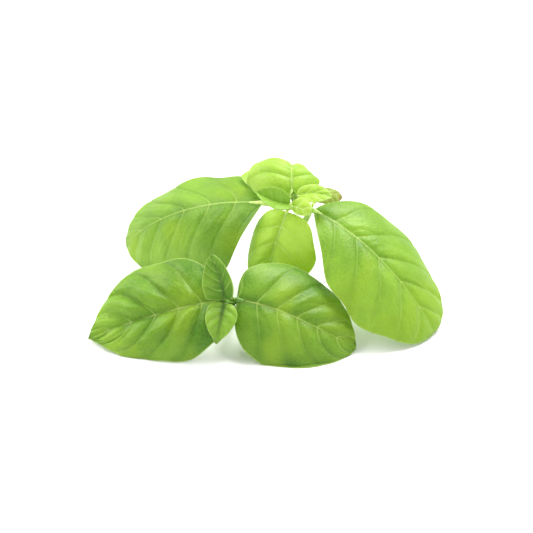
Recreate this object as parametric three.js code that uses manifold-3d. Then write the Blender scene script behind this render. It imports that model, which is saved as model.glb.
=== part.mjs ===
// A bunch of two cut basil sprigs lying on a table, in millimetres, +Z up.
// The front sprig faces the viewer at -Y, and the back sprig stands behind it on its drooping leaves.
// Each leaf is one solid: a waved blade, the rib under it and its stalk. Each sprig has one stem.
import * as THREE from "three";
import { mergeVertices } from "three/addons/utils/BufferGeometryUtils.js";
import Module from "manifold-3d";

const wasm = await Module();
wasm.setup();

// Driving dimensions
const BLADE = 0.7; // thickness of a large blade
const SMALL_BLADE = 0.6; // thickness of a young blade
const GAP = 0.3; // clearance between a leaf stalk and the stem that carries it
const STEM_RADIUS = 1.35; // both stems, between the growing tip and the cut end
const CENTRE = new THREE.Vector3(0.14, -1.9, 0); // middle of the bunch's footprint, in the leaves' coordinates
const BUD_RADIUS = 1.8; // bud at the growing tip of a stem
const BUD_SHARE = 0.05; // share of the stem's length from its tip to the bud's end
const RIB_REACH = 0.86; // share of the blade that the raised rib runs along
const VEIN_SWEEP = 1.5; // how strongly the side veins arch towards the tip, 0 for square to the rib
const DEGREE = Math.PI / 180;

// Colours
const DEEP_GREEN = 0x6fa52c;
const FRESH_GREEN = 0x8fc043;
const YOUNG_GREEN = 0xb5d84e;
const OLD_GREEN = 0x93a04a;
const STEM_GREEN = 0xb9d46a;

// The leaves. Of each leaf:
//   rib     four handles of the curve that the midrib follows, from the blade's base to its tip
//   face    where the upper side looks, at the base and at the tip
//   half    greatest half width, left and right of the rib, looking from base to tip
//   lift    how far each half rises from flat at the rib, in degrees
//   droop   how far each half turns down from rib to edge, in degrees
//   widest  where along the rib each half is widest, left and right, as a share of its length
//   blunt   roundness of base and tip, 0.5 round to 1 pointed
//   panels  number of panels between side veins on each half, and puff, how far they stand up
//   wave    height of the waves along the edge, their number and their start in turns
//   stalk   where the stalk meets the stem, and stalkRadius
const leaves = {
  front: [
    {
      name: "front_leaf_left",
      colour: DEEP_GREEN,
      rib: [[-16.6, -31, 21], [-32, -34, 20.8], [-54, -31, 11], [-69.6, -27.6, 1.6]],
      face: [[0, -0.72, 0.7], [-0.1, -0.6, 0.75]],
      half: [20.4, 22.5],
      lift: [14, 16],
      droop: [58, 50],
      widest: [0.38, 0.46],
      blunt: [0.42, 0.95],
      panels: 6,
      puff: 2,
      wave: [0.5, 2.5, 0.1],
      stalk: [-14, -29.2, 18.3],
      stalkRadius: 1,
      thick: BLADE,
    },
    {
      name: "front_leaf_right",
      colour: DEEP_GREEN,
      rib: [[-11.3, -30.7, 21], [4, -34, 21], [20, -36, 11.5], [34.6, -34.8, 1.6]],
      face: [[0.1, -0.75, 0.65], [0.2, -0.6, 0.75]],
      half: [22, 24],
      lift: [10, 8],
      droop: [55, 50],
      widest: [0.44, 0.5],
      blunt: [0.28, 0.78],
      panels: 6,
      puff: 1,
      wave: [0.4, 2, 0.4],
      stalk: [-12.9, -29.8, 19.3],
      stalkRadius: 1,
      thick: BLADE,
    },
    {
      name: "front_small_leaf_upper",
      colour: FRESH_GREEN,
      rib: [[-16.2, -32.3, 22.3], [-16.2, -31.8, 28], [-18.5, -31, 35], [-20.7, -31, 41]],
      face: [[0, -1, 0.3], [0.1, -1, 0.1]],
      half: [7.8, 4.1],
      lift: [25, 25],
      droop: [30, 30],
      widest: [0.3, 0.32],
      blunt: [0.26, 0.5],
      panels: 5,
      puff: 0.3,
      wave: [0.2, 2, 0],
      stalk: [-13.8, -30.9, 20.5],
      stalkRadius: 0.4,
      thick: SMALL_BLADE,
    },
    {
      name: "front_small_leaf_lower",
      colour: FRESH_GREEN,
      rib: [[-16, -34.2, 21.3], [-17, -38, 20.4], [-18, -41, 15.5], [-19.2, -44, 9.3]],
      face: [[0, -0.5, 0.9], [0, -0.9, 0.5]],
      half: [6.1, 6.2],
      lift: [20, 20],
      droop: [40, 40],
      widest: [0.4, 0.4],
      blunt: [0.34, 0.9],
      panels: 5,
      puff: 0.5,
      wave: [0.2, 2, 0.3],
      stalk: [-12.9, -31.4, 20.1],
      stalkRadius: 0.4,
      thick: SMALL_BLADE,
    },
  ],
  back: [
    {
      name: "back_leaf_left",
      colour: DEEP_GREEN,
      rib: [[-1.8, 7, 43], [-22, 13.5, 42.2], [-47, 25.5, 28], [-59.2, 36, 8]],
      face: [[-0.1, -0.15, 1], [-0.7, -0.35, 0.6]],
      half: [31, 19.5],
      lift: [-19, 4],
      droop: [62, 24],
      widest: [0.5, 0.42],
      blunt: [0.64, 0.42],
      panels: 6,
      puff: 0.8,
      wave: [0.7, 3, 0.2],
      stalk: [15, 6, 42.5],
      stalkRadius: 1.1,
      thick: BLADE,
    },
    {
      name: "back_leaf_right",
      colour: DEEP_GREEN,
      rib: [[18.6, 2.4, 42], [34, -7, 40], [55.5, -19, 22.5], [65.8, -23.5, 1.5]],
      face: [[0.2, -0.4, 0.9], [0.6, -0.4, 0.7]],
      half: [23, 26],
      lift: [10, 0],
      droop: [40, 45],
      widest: [0.5, 0.6],
      blunt: [0.68, 0.4],
      panels: 6,
      puff: 0.8,
      wave: [0.45, 3, 0.5],
      stalk: [15.5, 5, 42.5],
      stalkRadius: 1.1,
      thick: BLADE,
    },
    {
      name: "back_leaf_middle",
      colour: YOUNG_GREEN,
      rib: [[7.9, -0.3, 42.9], [4.5, -6, 35.5], [0, -6, 22], [-1, -3, 8]],
      face: [[-0.3, -0.8, 0.6], [-0.4, -1, 0]],
      half: [17.5, 14.2],
      lift: [12, 12],
      droop: [55, 78],
      widest: [0.5, 0.5],
      blunt: [0.3, 0.7],
      panels: 5,
      puff: 0.8,
      wave: [0.4, 2, 0],
      stalk: [12.2, 2.6, 43.2],
      stalkRadius: 0.7,
      thick: BLADE,
    },
    {
      name: "back_leaf_top",
      colour: YOUNG_GREEN,
      rib: [[10, 6.4, 47], [9.8, 12, 58], [10, 22, 57], [10.5, 30, 43]],
      face: [[-0.1, -0.9, 0.5], [0.25, 0.8, 0.6]],
      half: [20.4, 12.6],
      lift: [20, 6],
      droop: [84, 60],
      widest: [0.28, 0.34],
      blunt: [0.3, 0.75],
      panels: 5,
      puff: 1,
      wave: [0.5, 2, 0.2],
      stalk: [11.8, 4.4, 45.6],
      stalkRadius: 0.9,
      thick: BLADE,
    },
    {
      name: "back_small_leaf_left",
      colour: FRESH_GREEN,
      rib: [[9, 0.8, 45.7], [5, -0.5, 47], [0, -1.2, 49.5], [-4, -1, 52.2]],
      face: [[0, -0.7, 0.7], [0, -0.6, 0.8]],
      half: [5.4, 5.4],
      lift: [45, 45],
      droop: [20, 20],
      widest: [0.5, 0.5],
      blunt: [0.3, 0.6],
      panels: 4,
      puff: 0.3,
      wave: [0.1, 2, 0],
      stalk: [10.8, 3.4, 46.1],
      stalkRadius: 0.5,
      thick: SMALL_BLADE,
    },
    {
      name: "back_small_leaf_right",
      colour: YOUNG_GREEN,
      rib: [[12.4, 3.4, 48], [16, 3, 49.8], [21, 2.5, 50], [25.8, 2.5, 48]],
      face: [[0, -0.5, 0.9], [0, -0.5, 0.9]],
      half: [4, 4.8],
      lift: [30, 30],
      droop: [40, 45],
      widest: [0.45, 0.45],
      blunt: [0.4, 0.7],
      panels: 4,
      puff: 0.3,
      wave: [0.1, 2, 0],
      stalk: [12.8, 3.8, 46],
      stalkRadius: 0.5,
      thick: SMALL_BLADE,
    },
    {
      name: "back_small_leaf_front",
      colour: YOUNG_GREEN,
      rib: [[10.1, -1.1, 45.7], [11.6, -3.4, 47], [14, -4.6, 46.7], [17, -4.8, 44.5]],
      face: [[0, -0.8, 0.6], [0, -0.7, 0.7]],
      half: [4.6, 2.8],
      lift: [10, 10],
      droop: [35, 50],
      widest: [0.5, 0.5],
      blunt: [0.38, 0.55],
      panels: 3,
      puff: 0.2,
      wave: [0.1, 2, 0],
      stalk: [12.6, 2.3, 45.1],
      stalkRadius: 0.5,
      thick: SMALL_BLADE,
    },
    {
      name: "back_side_leaf_right",
      colour: OLD_GREEN,
      rib: [[19.5, 12, 41], [22, 15, 43.5], [27, 18, 42.5], [30.5, 19, 39]],
      face: [[0, -0.4, 0.9], [0.3, -0.4, 0.8]],
      half: [5, 5],
      lift: [5, 5],
      droop: [60, 60],
      widest: [0.5, 0.5],
      blunt: [0.5, 0.6],
      panels: 4,
      puff: 0.3,
      wave: [0.1, 2, 0],
      stalk: [18, 6.5, 42],
      stalkRadius: 0.7,
      thick: SMALL_BLADE,
    },
    {
      name: "back_side_leaf_left",
      colour: YOUNG_GREEN,
      rib: [[4, 14, 45], [-1, 18, 47.5], [-5, 22, 47.5], [-10, 25, 46]],
      face: [[0, -0.4, 0.9], [0, -0.4, 0.9]],
      half: [5, 5],
      lift: [20, 20],
      droop: [50, 50],
      widest: [0.5, 0.5],
      blunt: [0.5, 0.7],
      panels: 4,
      puff: 0.3,
      wave: [0.1, 2, 0],
      stalk: [15, 7.5, 44],
      stalkRadius: 0.7,
      thick: SMALL_BLADE,
    },
  ],
};

// The stems, from the growing tip to the cut end, which is trimmed flat where it meets the table.
const stems = {
  front: { name: "front_stem", path: [[-13.4, -30.4, 19.8], [-13.5, -26, 15.5], [-13.5, -18, 8], [-14, -10, -1]] },
  back: { name: "back_stem", path: [[10.7, 3.2, 45.5], [26, 6, 43], [10, 14, 26], [-1, 28, -1]] },
};

// A point on a cubic curve through its four handles, at share t.
function onCurve(handles, t) {
  const s = 1 - t;
  const weight = [s * s * s, 3 * s * s * t, 3 * s * t * t, t * t * t];
  return handles.reduce((sum, h, i) => sum.addScaledVector(new THREE.Vector3(...h), weight[i]), new THREE.Vector3());
}

// The direction of that curve.
function alongCurve(handles, t) {
  const step = 1e-3;
  return onCurve(handles, t + step).sub(onCurve(handles, t - step)).normalize();
}

// The rib's point, direction, left-hand side and upper side at share u of a leaf.
function ribFrame(leaf, u) {
  const along = alongCurve(leaf.rib, u);
  const [base, tip] = leaf.face.map((f) => new THREE.Vector3(...f).normalize());
  const left = base.lerp(tip, u).cross(along).normalize();
  return { at: onCurve(leaf.rib, u), along, left, up: along.clone().cross(left) };
}

// Half width of a blade's left (0) or right (1) half at share u, 0 at its ends and 1 where it is widest.
function outline(leaf, hand, u) {
  const inside = Math.min(Math.max(u, 0), 1);
  const swell = Math.sin(Math.PI * inside ** (Math.log(0.5) / Math.log(leaf.widest[hand])));
  return Math.max(swell, 0) ** THREE.MathUtils.lerp(leaf.blunt[0], leaf.blunt[1], inside);
}

// The middle of the blade's thickness. start is where a side vein leaves the rib, as a share of the length,
// and across is the place between the rib at 0 and the edge at 1, or -1 on the right.
function bladePoint(leaf, start, across) {
  const out = Math.abs(across);
  const hand = across < 0 ? 1 : 0;
  const u = 1 - (1 - start) ** (1 + VEIN_SWEEP * out ** 1.4);
  const frame = ribFrame(leaf, u);
  const [height, count, phase] = leaf.wave;
  const turn = 2 * Math.PI * (count * u + phase + 0.35 * hand);
  const reach = out * leaf.half[hand] * outline(leaf, hand, u) * (1 + 0.08 * height * Math.cos(turn) * out ** 2);
  const rise = leaf.lift[hand] * DEGREE;
  const bend = (-leaf.droop[hand] * DEGREE) / leaf.half[hand];
  const sideways = (Math.sin(rise + bend * reach) - Math.sin(rise)) / bend;
  const upwards = (Math.cos(rise) - Math.cos(rise + bend * reach)) / bend;
  const uneven = 0.75 + 0.25 * Math.sin(2 * Math.PI * (1.7 * start + 0.4 * hand));
  const panel = Math.abs(Math.sin(Math.PI * leaf.panels * start)) * uneven;
  const crown = Math.sin(Math.PI * out ** 0.6) * Math.sin(Math.PI * start) ** 0.5;
  const ripple = height * out ** 3 * Math.sin(turn);
  const at = frame.at
    .addScaledVector(frame.left, hand ? -sideways : sideways)
    .addScaledVector(frame.up, upwards + leaf.puff * panel * crown + ripple);
  at.z = Math.max(at.z, leaf.thick / 2);
  return at;
}

// The blade as one closed surface: an upper and a lower sheet on the same grid, joined round the edge.
function bladeGeometry(leaf, rows, columns) {
  const positions = [];
  const faces = [];
  const grid = [];
  for (let i = 0; i <= rows; i++) {
    const start = (i / rows) ** 1.6; // closer at the base, where the side veins fan out
    const line = [];
    const ends = i === 0 || i === rows;
    for (let j = -columns; j <= columns; j++) {
      if (ends && j > -columns) {
        line.push(line[0]);
        continue;
      }
      const across = ends ? 0 : j / columns;
      const at = bladePoint(leaf, start, across);
      const normal = ends ? ribFrame(leaf, start).up : bladeNormal(leaf, start, across, rows, columns);
      for (const side of [0.5, -0.5]) positions.push(...at.clone().addScaledVector(normal, side * leaf.thick));
      line.push(positions.length / 3 - 2);
    }
    grid.push(line);
  }
  const triangle = (a, b, c) => {
    if (a === b || b === c || a === c) return;
    faces.push(a, b, c, a + 1, c + 1, b + 1);
  };
  const rim = (a, b) => faces.push(a, a + 1, b, b, a + 1, b + 1);
  for (let i = 0; i < rows; i++) {
    for (let j = 0; j < 2 * columns; j++) {
      const [a, b, c, d] = [grid[i][j], grid[i][j + 1], grid[i + 1][j], grid[i + 1][j + 1]];
      triangle(a, c, d);
      triangle(a, d, b);
    }
    rim(grid[i][0], grid[i + 1][0]);
    rim(grid[i + 1][2 * columns], grid[i][2 * columns]);
  }
  return new THREE.BufferGeometry()
    .setAttribute("position", new THREE.Float32BufferAttribute(positions, 3))
    .setIndex(faces);
}

// The upper side's direction at a point of the blade, smoothed over half a grid step.
function bladeNormal(leaf, start, across, rows, columns) {
  const forward = 0.5 / rows;
  const aside = 0.5 / columns;
  const low = Math.max(across - aside, -1);
  const high = Math.min(across + aside, 1);
  const before = bladePoint(leaf, Math.max(start - forward, 0), across);
  const along = bladePoint(leaf, Math.min(start + forward, 1), across).sub(before);
  const left = bladePoint(leaf, start, high).sub(bladePoint(leaf, start, low));
  return along.cross(left).normalize();
}

// A tapered rod through the points, with a radius for each, closed at both ends.
function rodGeometry(points, radii, sides) {
  const positions = [];
  const faces = [];
  let across = new THREE.Vector3(0, 0, 1);
  points.forEach((at, i) => {
    const along = points[Math.min(i + 1, points.length - 1)].clone().sub(points[Math.max(i - 1, 0)]).normalize();
    if (i === 0 && Math.abs(along.z) > 0.9) across.set(1, 0, 0);
    across = across.addScaledVector(along, -across.dot(along)).normalize();
    const other = along.clone().cross(across);
    for (let k = 0; k < sides; k++) {
      const turn = (2 * Math.PI * k) / sides;
      const spot = at.clone();
      spot.addScaledVector(across, radii[i] * Math.cos(turn)).addScaledVector(other, radii[i] * Math.sin(turn));
      positions.push(...spot);
    }
  });
  const last = points.length - 1;
  positions.push(...points[0], ...points[last]);
  const [first, final] = [points.length * sides, points.length * sides + 1];
  for (let k = 0; k < sides; k++) {
    const next = (k + 1) % sides;
    faces.push(first, next, k, final, last * sides + k, last * sides + next);
    for (let i = 0; i < last; i++) {
      const [a, b, c, d] = [i * sides + k, i * sides + next, (i + 1) * sides + k, (i + 1) * sides + next];
      faces.push(a, b, d, a, d, c);
    }
  }
  return new THREE.BufferGeometry()
    .setAttribute("position", new THREE.Float32BufferAttribute(positions, 3))
    .setIndex(faces);
}

// A closed surface as a solid that can be joined and cut, and back.
function toSolid(geometry) {
  const bare = new THREE.BufferGeometry().setAttribute("position", geometry.getAttribute("position"));
  const merged = mergeVertices(geometry.index ? bare.setIndex(geometry.index) : bare, 1e-4);
  return new wasm.Manifold(
    new wasm.Mesh({
      numProp: 3,
      vertProperties: new Float32Array(merged.attributes.position.array),
      triVerts: new Uint32Array(merged.index.array),
    }),
  );
}

function toGeometry(solid) {
  const { numProp, vertProperties, triVerts } = solid.getMesh();
  const positions = [];
  for (let i = 0; i < vertProperties.length; i += numProp) positions.push(...vertProperties.subarray(i, i + 3));
  return new THREE.BufferGeometry()
    .setAttribute("position", new THREE.Float32BufferAttribute(positions, 3))
    .setIndex([...triVerts]);
}

// The stalk and the raised rib under the blade, as one tapering rod.
function ribSolid(leaf) {
  const base = new THREE.Vector3(...leaf.rib[0]);
  const from = new THREE.Vector3(...leaf.stalk);
  const reach = from.distanceTo(base);
  const leaving = base.clone().addScaledVector(alongCurve(leaf.rib, 0.01), -reach / 3);
  const stalk = [leaf.stalk, from.clone().lerp(leaving, 0.6).toArray(), leaving.toArray(), leaf.rib[0]];
  const points = [];
  const radii = [];
  const stalkSteps = 4;
  for (let i = 0; i < stalkSteps; i++) {
    points.push(onCurve(stalk, i / stalkSteps));
    radii.push(leaf.stalkRadius);
  }
  const ribSteps = 8;
  for (let i = 0; i <= ribSteps; i++) {
    const u = (RIB_REACH * i) / ribSteps;
    const radius = THREE.MathUtils.lerp(leaf.stalkRadius, 0.3, (i / ribSteps) ** 0.6);
    points.push(onCurve(leaf.rib, u).addScaledVector(ribFrame(leaf, u).up, -radius));
    radii.push(radius);
  }
  return toSolid(rodGeometry(points, radii, 6));
}

// The stem with the bud of unopened leaves at its growing tip, thicker by extra all round.
function stemSolid(stem, extra) {
  const shares = [0, 0.01, 0.025, 0.045, 0.07, 0.1, 0.2, 0.3, 0.4, 0.5, 0.6, 0.7, 0.8, 0.9, 1];
  const points = shares.map((share) => onCurve(stem.path, share));
  const radii = shares.map((share) => {
    const bud = BUD_RADIUS * Math.sqrt(Math.max(1 - (share / BUD_SHARE - 0.8) ** 2, 0));
    return Math.max(bud, share < BUD_SHARE ? 0 : STEM_RADIUS) + extra;
  });
  return toSolid(rodGeometry(points, radii, 8));
}

// Everything under the table's surface, to be cut away.
function underTable() {
  const slab = new THREE.BoxGeometry(300, 300, 20);
  slab.deleteAttribute("normal");
  slab.deleteAttribute("uv");
  slab.translate(0, 0, -10);
  return toSolid(slab);
}

function mesh(name, solid, colour, roughness) {
  const material = new THREE.MeshStandardMaterial({ color: colour, roughness, metalness: 0 });
  const made = new THREE.Mesh(toGeometry(solid), material);
  made.name = name;
  return made;
}

const bunch = new THREE.Group();
for (const sprig of ["front", "back"]) {
  const group = new THREE.Group();
  const stem = stems[sprig];
  group.add(mesh(stem.name, stemSolid(stem, 0).subtract(underTable()), STEM_GREEN, 0.45));
  for (const leaf of leaves[sprig]) {
    const large = leaf.thick === BLADE;
    const blade = toSolid(bladeGeometry(leaf, large ? 20 : 12, large ? 5 : 3));
    const whole = blade.add(ribSolid(leaf)).subtract(stemSolid(stem, GAP)).subtract(underTable());
    group.add(mesh(leaf.name, whole, leaf.colour, 0.5));
  }
  bunch.add(group);
}
bunch.position.copy(CENTRE).negate();

export default bunch;
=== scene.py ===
"""A bunch of two cut basil sprigs, lying on a pale table on their drooping leaves and cut ends.

The front sprig faces the camera and the back sprig stands behind it. Each leaf is grown from the same
rule as its solid: a midrib, a folded and drooping blade on it, and panels puffed up between side veins.
"""
import math

import bpy
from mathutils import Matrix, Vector
from mathutils.geometry import interpolate_bezier


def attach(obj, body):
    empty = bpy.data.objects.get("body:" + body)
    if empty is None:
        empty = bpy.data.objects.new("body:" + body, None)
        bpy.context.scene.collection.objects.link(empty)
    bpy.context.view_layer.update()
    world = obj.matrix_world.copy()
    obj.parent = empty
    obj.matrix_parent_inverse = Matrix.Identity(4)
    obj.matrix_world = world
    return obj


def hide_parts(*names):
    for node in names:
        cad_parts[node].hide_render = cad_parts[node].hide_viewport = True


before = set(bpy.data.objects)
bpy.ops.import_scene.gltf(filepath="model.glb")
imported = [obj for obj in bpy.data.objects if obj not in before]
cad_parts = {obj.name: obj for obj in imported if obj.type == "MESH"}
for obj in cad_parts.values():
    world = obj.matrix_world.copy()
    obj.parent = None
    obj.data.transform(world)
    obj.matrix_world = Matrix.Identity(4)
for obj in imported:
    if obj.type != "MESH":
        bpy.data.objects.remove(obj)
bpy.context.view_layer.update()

# Camera, table and light.
# The bunch is seen from the front and 30 degrees above, from 0.7 m, on a table of matt white lacquer.
# Soft light comes from above and behind and from the left, so that the blades glow where it gets through.
MM = 0.001
aim = Vector((-0.14, 1.9, 18)) * MM
height_angle = math.radians(30)
distance = 0.7
millimetres_per_pixel = 0.40
image_width = 533
sensor_width = 36

camera = bpy.data.objects.new("camera", bpy.data.cameras.new("camera"))
bpy.context.scene.collection.objects.link(camera)
camera.location = aim + distance * Vector((0, -math.cos(height_angle), math.sin(height_angle)))
camera.rotation_euler = (math.pi / 2 - height_angle, 0, 0)
camera.data.sensor_width = sensor_width
camera.data.lens = sensor_width * distance / (millimetres_per_pixel * MM * image_width)
bpy.context.scene.camera = camera


def linear(hex_colour):
    """An sRGB hex colour as linear RGBA."""
    channels = [int(hex_colour[i : i + 2], 16) / 255 for i in (1, 3, 5)]
    return tuple(c / 12.92 if c <= 0.04045 else ((c + 0.055) / 1.055) ** 2.4 for c in channels) + (1.0,)


def add(tree, kind, *inputs, **settings):
    """Adds a node with its settings. Inputs are linked or set in order, or by name from a dictionary.

    A node given as an input stands for its first output, a list is linked one by one to the same input,
    and None leaves an input as it is.
    """
    node = tree.nodes.new(kind)
    for setting, value in settings.items():
        setattr(node, setting, value)
    if inputs and isinstance(inputs[0], dict):
        pairs = [(node.inputs[name], given) for name, given in inputs[0].items()]
    else:
        pairs = zip([socket for socket in node.inputs if socket.enabled], inputs)
    for socket, several in pairs:
        for given in several if isinstance(several, list) else [several]:
            if isinstance(given, bpy.types.Node):
                given = next(output for output in given.outputs if output.enabled)
            if isinstance(given, bpy.types.NodeSocket):
                tree.links.new(given, socket)
            elif given is not None:
                socket.default_value = given
    return node


table_white = "#f4f4f2"
table_reach = 3  # from the middle of the table to its edges, in m
corners = [(x * table_reach, y * table_reach, 0) for x, y in ((-1, -1), (1, -1), (1, 1), (-1, 1))]
table = bpy.data.objects.new("table", bpy.data.meshes.new("table"))
table.data.from_pydata(corners, [], [(0, 1, 2, 3)])
bpy.context.scene.collection.objects.link(table)
lacquer = bpy.data.materials.new("matt white lacquer")
lacquer.use_nodes = True
lacquer.node_tree.nodes.clear()
coating = {"Base Color": linear(table_white), "Roughness": 0.8}
coating = add(lacquer.node_tree, "ShaderNodeBsdfPrincipled", coating)
add(lacquer.node_tree, "ShaderNodeOutputMaterial", coating)
table.data.materials.append(lacquer)

soft_lights = {
    # where it hangs (m), its width (m) and its power (W)
    "window on the left": ((-0.75, 0.15, 0.75), 0.7, 8.0),
    "lamp above": ((0.35, 0.4, 0.95), 0.6, 15.0),
    "card in front": ((0.3, -0.9, 0.5), 0.8, 1.0),
}
for name, (place, width, power) in soft_lights.items():
    light = bpy.data.objects.new(name, bpy.data.lights.new(name, "AREA"))
    bpy.context.scene.collection.objects.link(light)
    light.location = place
    light.rotation_euler = (aim - Vector(place)).to_track_quat("-Z", "Y").to_euler()
    light.data.size = width
    light.data.energy = power

room = bpy.data.worlds.new("white room")
room.use_nodes = True
room.node_tree.nodes["Background"].inputs["Color"].default_value = linear("#ffffff")
room.node_tree.nodes["Background"].inputs["Strength"].default_value = 0.75
bpy.context.scene.world = room
bpy.context.scene.view_settings.view_transform = "Standard"

# Front sprig, the two large leaves.
# A basil leaf is one piece: a domed blade, the midrib raised under it, and a stalk that the rib runs into.
# The blade is folded along the midrib, droops to its edges, and puffs up between its sunken side veins.
vein_sweep = 1.5  # how strongly the side veins arch towards the tip
rib_reach = 0.86  # share of the blade that has a raised rib
blade_thickness = 0.42  # of a grown leaf, in mm
middle = Vector((0.14, -1.9, 0))  # the bunch's middle, in the leaves' coordinates in mm


def sockets(tree, outputs=(), **inputs):
    """Gives a Geometry Nodes tree its inputs, named by kind, and its outputs, as pairs of kind and name."""
    for kind, names in inputs.items():
        for name in names:
            tree.interface.new_socket(name, in_out="INPUT", socket_type="NodeSocket" + kind)
    for kind, name in outputs:
        tree.interface.new_socket(name, in_out="OUTPUT", socket_type="NodeSocket" + kind)


# The midrib, at a share of its length from the base: the point, the left-hand side and the upper side.
rib_handles = ["base", "base handle", "tip handle", "tip", "face at base", "face at tip"]
midrib = bpy.data.node_groups.new("midrib", "GeometryNodeTree")
rib_frame = [("Vector", "at"), ("Vector", "left"), ("Vector", "up")]
sockets(midrib, rib_frame, Float=["share"], Vector=rib_handles)
given = add(midrib, "NodeGroupInput").outputs
between = {"data_type": "VECTOR", "clamp_factor": False}
share = given["share"]
first = add(midrib, "ShaderNodeMix", share, given["base"], given["base handle"], **between)
second = add(midrib, "ShaderNodeMix", share, given["base handle"], given["tip handle"], **between)
third = add(midrib, "ShaderNodeMix", share, given["tip handle"], given["tip"], **between)
behind = add(midrib, "ShaderNodeMix", share, first, second, **between)
ahead = add(midrib, "ShaderNodeMix", share, second, third, **between)
at = add(midrib, "ShaderNodeMix", share, behind, ahead, **between)
along = add(midrib, "ShaderNodeVectorMath", ahead, behind, operation="SUBTRACT")
face = add(midrib, "ShaderNodeMix", share, given["face at base"], given["face at tip"], **between)
left = add(midrib, "ShaderNodeVectorMath", face, along, operation="CROSS_PRODUCT")
left = add(midrib, "ShaderNodeVectorMath", left, operation="NORMALIZE")
up = add(midrib, "ShaderNodeVectorMath", along, left, operation="CROSS_PRODUCT")
up = add(midrib, "ShaderNodeVectorMath", up, operation="NORMALIZE")
add(midrib, "NodeGroupOutput", at, left, up)

leaf = bpy.data.node_groups.new("leaf", "GeometryNodeTree")
leaf.is_modifier = True
sockets(
    leaf,
    [("Geometry", "leaf")],
    Vector=rib_handles + ["stalk", "stalk handle", "blade handle"],
    Float=["length", "half left", "half right", "lift left", "lift right", "droop left", "droop right"]
    + ["swell left", "swell right", "blunt base", "blunt tip", "panels", "puff", "crinkle", "vein depth"]
    + ["wave height", "wave count", "wave start", "stalk radius", "thickness", "age_and_light", "tip light", "seed"],
    Int=["rows", "columns"],
    Material=["blade finish", "stalk finish"],
)
given = add(leaf, "NodeGroupInput").outputs

# The blade starts as a flat grid: start is where a point's side vein leaves the rib, from the base at 0 to
# the tip at 1, and out is how far along that vein it lies, from the rib at 0 to the edge at 1.
finer_at_base = 1.5  # powers that set the rows closer at the base, and the columns closer at the rib
finer_at_rib = 1.2
grid = {"Size X": 1.0, "Size Y": 2.0, "Vertices X": given["rows"], "Vertices Y": given["columns"]}
grid = add(leaf, "GeometryNodeMeshGrid", grid)
flat = add(leaf, "ShaderNodeSeparateXYZ", add(leaf, "GeometryNodeInputPosition")).outputs
start = add(leaf, "ShaderNodeMath", flat["X"], 0.5, operation="ADD", use_clamp=True)
start = add(leaf, "ShaderNodeMath", start, finer_at_base, operation="POWER")
hand = add(leaf, "ShaderNodeMath", flat["Y"], operation="SIGN")
on_right = add(leaf, "ShaderNodeMath", flat["Y"], 0.0, operation="LESS_THAN")
out = add(leaf, "ShaderNodeMath", flat["Y"], operation="ABSOLUTE")
out = add(leaf, "ShaderNodeMath", out, finer_at_rib, operation="POWER")

# Side veins arch to the tip, so a point further out lies further along the rib, and they spread as they go.
late_arch = 1.4  # power by which a vein is straight at the rib and arches more towards the edge
arch = add(leaf, "ShaderNodeMath", out, late_arch, operation="POWER")
arch = add(leaf, "ShaderNodeMath", arch, vein_sweep, operation="MULTIPLY")
lean = add(leaf, "ShaderNodeMath", arch, 1.0, operation="ADD")
left_over = add(leaf, "ShaderNodeMath", 1.0, start, operation="SUBTRACT")
spread = add(leaf, "ShaderNodeMath", left_over, arch, operation="POWER")
spread = add(leaf, "ShaderNodeMath", spread, lean, operation="MULTIPLY")
left_over = add(leaf, "ShaderNodeMath", left_over, lean, operation="POWER")
share = add(leaf, "ShaderNodeMath", 1.0, left_over, operation="SUBTRACT", use_clamp=True)
handles = [given[name] for name in rib_handles]
rib = add(leaf, "GeometryNodeGroup", share, *handles, node_tree=midrib).outputs

# The outline: no width at base and tip, widest in between, and slightly scalloped.
right_ahead = 0.35  # how far the right-hand edge's wave is ahead of the left-hand one's, in waves
scallop_per_mm = 0.08  # share by which the width changes with each mm of the edge's wave
swell = add(leaf, "ShaderNodeMix", on_right, given["swell left"], given["swell right"])
width = add(leaf, "ShaderNodeMath", share, swell, operation="POWER")
width = add(leaf, "ShaderNodeMath", width, math.pi, operation="MULTIPLY")
width = add(leaf, "ShaderNodeMath", width, operation="SINE")
width = add(leaf, "ShaderNodeMath", width, 0.0, operation="MAXIMUM")
blunt = add(leaf, "ShaderNodeMix", share, given["blunt base"], given["blunt tip"])
width = add(leaf, "ShaderNodeMath", width, blunt, operation="POWER")
turn = add(leaf, "ShaderNodeMath", share, given["wave count"], given["wave start"], operation="MULTIPLY_ADD")
turn = add(leaf, "ShaderNodeMath", on_right, right_ahead, turn, operation="MULTIPLY_ADD")
turn = add(leaf, "ShaderNodeMath", turn, 2 * math.pi, operation="MULTIPLY")
scallop = add(leaf, "ShaderNodeMath", turn, operation="COSINE")
scallop = add(leaf, "ShaderNodeMath", scallop, given["wave height"], operation="MULTIPLY")
scallop = add(leaf, "ShaderNodeMath", scallop, out, operation="MULTIPLY")
scallop = add(leaf, "ShaderNodeMath", scallop, out, operation="MULTIPLY")
scallop = add(leaf, "ShaderNodeMath", scallop, scallop_per_mm / MM, 1.0, operation="MULTIPLY_ADD")
half = add(leaf, "ShaderNodeMix", on_right, given["half left"], given["half right"])
reach = add(leaf, "ShaderNodeMath", out, half, operation="MULTIPLY")
reach = add(leaf, "ShaderNodeMath", reach, width, operation="MULTIPLY")
reach = add(leaf, "ShaderNodeMath", reach, scallop, operation="MULTIPLY")

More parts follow.
